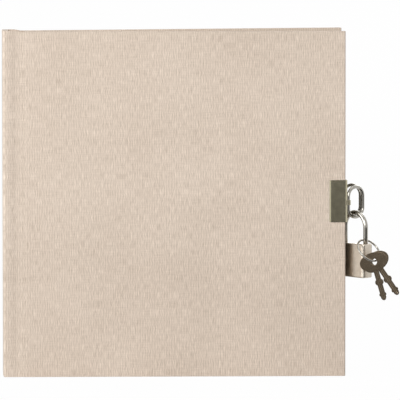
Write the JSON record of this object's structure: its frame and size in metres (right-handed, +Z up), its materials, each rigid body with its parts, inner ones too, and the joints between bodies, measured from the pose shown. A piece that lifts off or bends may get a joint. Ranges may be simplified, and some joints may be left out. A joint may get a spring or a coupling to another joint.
{
  "type": "diary with padlock",
  "caption": "Square cloth-bound hardback diary standing slightly open, with hasp rings, a small padlock, a key ring and flat keys.",
  "frame": {"origin": "centre of the spine's tail face", "axes": "+Z up along the spine, +X from the spine to the fore edge, +Y from the front cover to the back"},
  "size_m": [0.1903, 0.0349, 0.1676],
  "materials": {
    "linen": "matte",
    "grey_board": "matte",
    "mull": "matte",
    "band_cloth": "satin",
    "endpaper": "matte",
    "paper": "matte",
    "dark_nickel": "satin",
    "nickel": "polished",
    "brushed_nickel": "brushed",
    "key_nickel": "satin",
    "lock_brass": "satin",
    "lock_steel": "satin"
  },
  "bodies": {
    "spine": {"spine_board": "grey_board", "spine_cloth": "linen", "spine_lining": "mull", "head_band": "band_cloth", "tail_band": "band_cloth"},
    "front_cover": {"front_board": "grey_board", "front_cloth": "linen", "front_pastedown": "endpaper", "front_clip": "dark_nickel"},
    "back_cover": {"back_board": "grey_board", "back_cloth": "linen", "back_pastedown": "endpaper", "back_clip": "dark_nickel"},
    "section_1": {"section_1": "paper", "front_flyleaf": "endpaper"},
    "section_6": {"section_6": "paper", "back_flyleaf": "endpaper"},
    "front_ring": {"front_ring": "nickel"},
    "back_ring": {"back_ring": "nickel"},
    "shackle": {"shackle": "nickel"},
    "lock_case": {"lock_case": "brushed_nickel", "latch_spring": "lock_steel", "heel_pin": "lock_steel"},
    "plug": {"lock_plug": "lock_brass"},
    "latch": {"latch": "lock_steel"},
    "key_ring": {"key_ring": "nickel"},
    "key_a": {"key_a": "key_nickel"},
    "key_b": {"key_b": "key_nickel"},
    "section_2": {"section_2": "paper"},
    "section_3": {"section_3": "paper"},
    "section_4": {"section_4": "paper"},
    "section_5": {"section_5": "paper"}
  },
  "joints": [
    {"name": "front_cover_hinge", "type": "hinge", "parent": "spine", "child": "front_cover", "pos_m": [0.0019, -0.00502, 0.0835], "axis": [0, 0, -1], "range_deg": [-1.2, 85]},
    {"name": "back_cover_hinge", "type": "hinge", "parent": "spine", "child": "back_cover", "pos_m": [0.0019, 0.00502, 0.0835], "axis": [0, 0, 1], "range_deg": [-1.2, 85]},
    {"name": "section_1_turn", "type": "hinge", "parent": "spine", "child": "section_1", "pos_m": [0.00306, -0.00205, 0.0835], "axis": [0, 0, -1], "range_deg": [-0.65, 42.55]},
    {"name": "section_2_turn", "type": "hinge", "parent": "spine", "child": "section_2", "pos_m": [0.00306, -0.00123, 0.0835], "axis": [0, 0, -1], "range_deg": [-0.41, 25.55]},
    {"name": "section_3_turn", "type": "hinge", "parent": "spine", "child": "section_3", "pos_m": [0.00306, -0.00041, 0.0835], "axis": [0, 0, -1], "range_deg": [-0.17, 8.55]},
    {"name": "section_4_turn", "type": "hinge", "parent": "spine", "child": "section_4", "pos_m": [0.00306, 0.00041, 0.0835], "axis": [0, 0, 1], "range_deg": [-0.17, 8.55]},
    {"name": "section_5_turn", "type": "hinge", "parent": "spine", "child": "section_5", "pos_m": [0.00306, 0.00123, 0.0835], "axis": [0, 0, 1], "range_deg": [-0.41, 25.55]},
    {"name": "section_6_turn", "type": "hinge", "parent": "spine", "child": "section_6", "pos_m": [0.00306, 0.00205, 0.0835], "axis": [0, 0, 1], "range_deg": [-0.65, 42.55]},
    {"name": "front_ring_swing", "type": "hinge", "parent": "front_cover", "child": "front_ring", "pos_m": [0.16479, -0.0117, 0.0841], "axis": [0, 0, -1], "range_deg": [0, 75]},
    {"name": "back_ring_swing", "type": "hinge", "parent": "back_cover", "child": "back_ring", "pos_m": [0.16479, 0.0117, 0.0841], "axis": [0, 0, 1], "range_deg": [0, 98]},
    {"name": "padlock_swing", "type": "hinge", "parent": "front_ring", "child": "shackle", "pos_m": [0.16853, -0.00906, 0.07677], "axis": [-0.8161, -0.5779, 0], "range_deg": [0, 45]},
    {"name": "shackle_release", "type": "slide", "parent": "shackle", "child": "lock_case", "axis": [0, 0, -1], "range_m": [0, 0.0066]},
    {"name": "plug_turn", "type": "hinge", "parent": "lock_case", "child": "plug", "pos_m": [0.16853, -0.00906, 0.04785], "axis": [0, 0, -1], "range_deg": [-0.5, 91]},
    {"name": "latch_slide", "type": "slide", "parent": "lock_case", "child": "latch", "axis": [0.6334, -0.7738, 0], "range_m": [0, 0.00095]},
    {"name": "key_ring_swing", "type": "hinge", "parent": "lock_case", "child": "key_ring", "pos_m": [0.17293, -0.01444, 0.06425], "axis": [0, 0, 1], "range_deg": [-10, 10]},
    {"name": "key_a_swing", "type": "hinge", "parent": "key_ring", "child": "key_a", "pos_m": [0.17628, -0.01977, 0.05606], "axis": [0.0471, 0.9989, 0], "range_deg": [-25, 30]},
    {"name": "key_b_swing", "type": "hinge", "parent": "key_ring", "child": "key_b", "pos_m": [0.17749, -0.01878, 0.05606], "axis": [0.0471, 0.9989, 0], "range_deg": [-20, 45]}
  ],
  "couplings": [
    {"joint": "section_1_turn", "follows": "front_cover_hinge", "ratio": 0.5},
    {"joint": "section_2_turn", "follows": "front_cover_hinge", "ratio": 0.3},
    {"joint": "section_3_turn", "follows": "front_cover_hinge", "ratio": 0.1},
    {"joint": "section_4_turn", "follows": "back_cover_hinge", "ratio": 0.1},
    {"joint": "section_5_turn", "follows": "back_cover_hinge", "ratio": 0.3},
    {"joint": "section_6_turn", "follows": "back_cover_hinge", "ratio": 0.5},
    {"joint": "plug_turn", "follows": "latch_slide", "rad_per_m": 1653.5}
  ]
}
